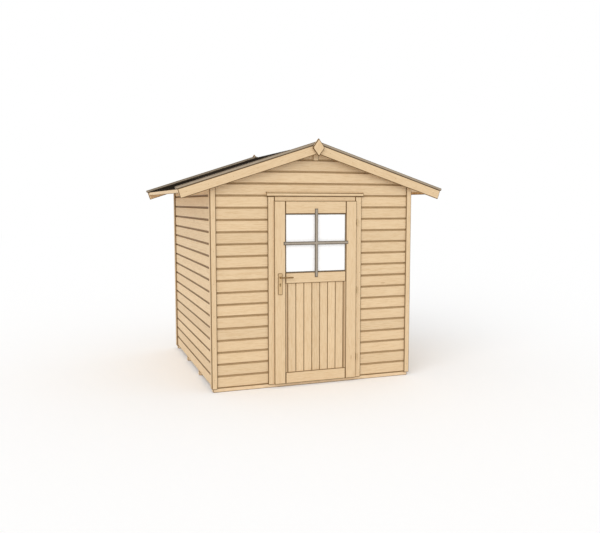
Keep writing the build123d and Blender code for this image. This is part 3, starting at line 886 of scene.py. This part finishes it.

# Roof boards: each slope is boards from ridge to eave, side by side from front to back.
# Their undersides show at the eaves and the verges. The boards are painted paler than the
# other planed spruce: painted light that lifts the shade under the roof.
roof_turns = {"left": (0, roof_angle, 0), "right": (0, -roof_angle, 0)}
# Painted light: the roof boards are paler than the other planed spruce, lifting the shade on their
# undersides.
roof_painted_light_early = paint(250, 231, 202)
roof_painted_light_late = paint(224, 194, 154)
roof_board_gap = 0.004
roof_board_ease = 0.002
for hand, turn in roof_turns.items():
    node = "roof_boards_" + hand
    roofing = merged_copy(node, "roof_boarding_" + hand)
    board_end = roof_low[1] + board_cover - roof_board_gap / 4
    cut_boards(roofing, (((0, board_end, 0), (0, 1, 0)),))
    ease_edges(roofing, roof_board_ease)
    board_count = int((roof_high[1] - roof_low[1]) / board_cover) + 1
    repeat_boards(roofing, (0, board_cover, 0), board_count)
    cut_boards(roofing, (((0, roof_high[1], 0), (0, 1, 0)),))
    roof_painted_light_wood = spruce(
        "roof boards painted light " + hand,
        roof_painted_light_early,
        roof_painted_light_late,
        turn=turn,
        across="y",
        board=board_cover,
        edge=roof_low[1],
    )
    roofing.data.materials.append(roof_painted_light_wood)
    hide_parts(node)
    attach(roofing, "shed")

# Roof felt: black mineral felt in courses along the roof, each lapped over the one below,
# with a strip over the ridge. Galvanised clout nails hold every lower edge.


def mineral_felt(name, dark, light):
    """Bitumen felt faced with fine slate chips, a little faded in long soft streaks."""
    felt = bpy.data.materials.new(name)
    felt.use_nodes = True
    nodes = felt.node_tree.nodes
    links = felt.node_tree.links
    shader = nodes["Principled BSDF"]
    shader.inputs["Roughness"].default_value = 0.92
    shader.inputs["Specular IOR Level"].default_value = 0.0
    coordinates = nodes.new("ShaderNodeTexCoord")
    chips = nodes.new("ShaderNodeTexVoronoi")
    chips.inputs["Scale"].default_value = 420
    tone = nodes.new("ShaderNodeMix")
    tone.data_type = "RGBA"
    tone.inputs["A"].default_value = dark
    tone.inputs["B"].default_value = light
    drawn_down = nodes.new("ShaderNodeMapping")
    drawn_down.inputs["Scale"].default_value = (1.5, 7, 1.5)
    streaks = nodes.new("ShaderNodeTexNoise")
    streaks.inputs["Scale"].default_value = 1
    streaks.inputs["Detail"].default_value = 5
    fade = nodes.new("ShaderNodeMapRange")
    fade.inputs["From Min"].default_value = 0.4
    fade.inputs["From Max"].default_value = 0.75
    fade.inputs["To Max"].default_value = 0.16
    faded = nodes.new("ShaderNodeMix")
    faded.data_type = "RGBA"
    faded.inputs["B"].default_value = paint(78, 70, 60)
    relief = nodes.new("ShaderNodeBump")
    relief.inputs["Strength"].default_value = 0.6
    relief.inputs["Distance"].default_value = 0.001
    links.new(coordinates.outputs["Object"], chips.inputs["Vector"])
    links.new(chips.outputs["Color"], tone.inputs["Factor"])
    links.new(coordinates.outputs["Object"], drawn_down.inputs["Vector"])
    links.new(drawn_down.outputs["Vector"], streaks.inputs["Vector"])
    links.new(streaks.outputs["Fac"], fade.inputs["Value"])
    links.new(fade.outputs["Result"], faded.inputs["Factor"])
    links.new(tone.outputs["Result"], faded.inputs["A"])
    links.new(faded.outputs["Result"], shader.inputs["Base Color"])
    links.new(chips.outputs["Distance"], relief.inputs["Height"])
    links.new(relief.outputs["Normal"], shader.inputs["Normal"])
    return felt


eave_felt = mineral_felt("eave felt", paint(18, 14, 10), paint(44, 36, 29))
for hand, _ in sides:
    finish_node("roof_felt_" + hand, eave_felt)

felt_edge, _, felt_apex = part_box("roof_felt_right")[1]
cap_cover = 0.0425
felt_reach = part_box("verge_caps_right")[1][1] - cap_cover
lower_lap_run = felt_edge * 0.66
upper_lap_run = felt_edge * 0.33
ridge_strip_run = 0.14
lap_thickness = 0.0024
lap_seat = 0.45
edge_waver = 0.0011
strip_count = 30
roof_fall = tan(roof_angle)
clout_radius = 0.005
clout_spacing = 0.14
clouts_each_way = 7
clout_from_lap = 0.022
clout_from_eave = 0.03
clout_steel = metal("clout heads", paint(122, 116, 106), paint(86, 80, 72), 0.5)


def felt_sheet(name, half_run, layers_below, finish):
    """A course of felt laid over the ridge, to half_run each side, with a wavy edge."""
    sheet = new_block(name, (0, 0, 0), (2 * half_run, 2 * felt_reach, lap_thickness))
    bpy.ops.object.mode_set(mode="EDIT")
    bpy.ops.mesh.select_all(action="SELECT")
    bpy.ops.mesh.bisect(plane_co=(0, 0, 0), plane_no=(1, 0, 0))
    for number in range(1, strip_count):
        bpy.ops.mesh.select_all(action="SELECT")
        strip_end = felt_reach * (2 * number / strip_count - 1)
        bpy.ops.mesh.bisect(plane_co=(0, strip_end, 0), plane_no=(0, 1, 0))
    bpy.ops.object.mode_set(mode="OBJECT")
    lift = felt_apex + lap_thickness * (layers_below + lap_seat)
    for vertex in sheet.data.vertices:
        wave = sin(vertex.co.y * 9 + layers_below * 2) + sin(vertex.co.y * 23 + half_run * 40)
        vertex.co.x *= 1 + edge_waver * wave
        vertex.co.z += lift - abs(vertex.co.x) * roof_fall
    sheet.data.materials.append(finish)
    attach(sheet, "shed")
    for hand, side in sides:
        clout_nails(name + "_nails_" + hand, side, half_run - clout_from_lap, layers_below + 1)


def clout_nails(name, side, run, layers):
    """A row of clout nails along the roof, run metres out from the ridge."""
    level = felt_apex + lap_thickness * layers - run * roof_fall
    rows = [
        (side * run, clout_spacing * number, level)
        for number in range(-clouts_each_way, clouts_each_way + 1)
    ]
    outward = (side * sin(roof_angle), 0, cos(roof_angle))
    nail_heads(name, "shed", rows, outward, clout_radius, clout_steel)


lower_felt = mineral_felt("lower lap felt", paint(26, 22, 17), paint(54, 46, 38))
upper_felt = mineral_felt("upper lap felt", paint(20, 16, 12), paint(46, 38, 31))
ridge_felt = mineral_felt("ridge felt", paint(29, 24, 19), paint(59, 51, 43))
felt_sheet("felt_lower_lap", lower_lap_run, 0, lower_felt)
felt_sheet("felt_upper_lap", upper_lap_run, 1, upper_felt)
felt_sheet("felt_ridge_strip", ridge_strip_run, 2, ridge_felt)
for hand, side in sides:
    clout_nails("felt_eave_nails_" + hand, side, felt_edge - clout_from_eave, 0)

# Eave strips, barge boards and verge caps: planed strips nailed along the roof's edges.
# The caps lie over the felt's edges, and are grey.
eased_timber("eave_strips", "shed", planed_y, arris_y)
cap_early = paint(178, 164, 144)
cap_late = paint(138, 120, 98)
cap_arris = paint(112, 96, 76)
barge_ease = 0.006
cap_ease = 0.0055
for hand, turn in roof_turns.items():
    barge_wood = spruce("barge board " + hand, cream, honey, turn=turn)
    barge_edge = spruce("barge arris " + hand, arris, arris_dark, turn=turn)
    for end, _ in ends:
        barge = end + "_barge_" + hand
        eased_timber(barge, "shed", barge_wood, barge_edge, ease=barge_ease)
    cap_wood = spruce("verge cap " + hand, cap_early, cap_late, turn=turn)
    cap_edge = spruce("verge cap arris " + hand, cap_arris, cap_arris, turn=turn)
    caps = "verge_caps_" + hand
    eased_timber(caps, "shed", cap_wood, cap_edge, ease=cap_ease)
barge_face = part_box("front_barge_left")[0][1]
barge_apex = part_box("front_barge_left")[1][2]
barge_middle = 0.044
barge_nail_runs = (0.14, 0.37, 0.6, 0.83, 1.06, 1.26)
cap_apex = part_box("verge_caps_left")[1][2]
cap_middle = 1.092
cap_nail_runs = (0.1, 0.4, 0.7, 1.0, 1.28)
middle_in = barge_middle * sin(roof_angle)
middle_down = barge_middle * cos(roof_angle)
for hand, side in sides:
    cap_top = (side * sin(roof_angle), 0, cos(roof_angle))
    for end, outward in ends:
        rows = [
            (
                side * (run - middle_in),
                -outward * barge_face,
                barge_apex - run * roof_fall - middle_down,
            )
            for run in barge_nail_runs
        ]
        name = "nails_" + end + "_barge_" + hand
        nail_heads(name, "shed", rows, (0, outward, 0), nail_radius, nail_steel)
        rows = [
            (side * run, outward * cap_middle, cap_apex - run * roof_fall) for run in cap_nail_runs
        ]
        name = "nails_" + end + "_cap_" + hand
        nail_heads(name, "shed", rows, cap_top, nail_radius, nail_steel)

# Gable ornaments: a diamond cut from board with broad dark chamfers, fixed over the joint
# of the barge boards at the ridge.
ornament_edge = spruce("ornament chamfer", paint(116, 88, 54), paint(92, 68, 40), along="z")
eased_timber("gable_ornaments", "shed", planed_z, ornament_edge, ease=0.008)
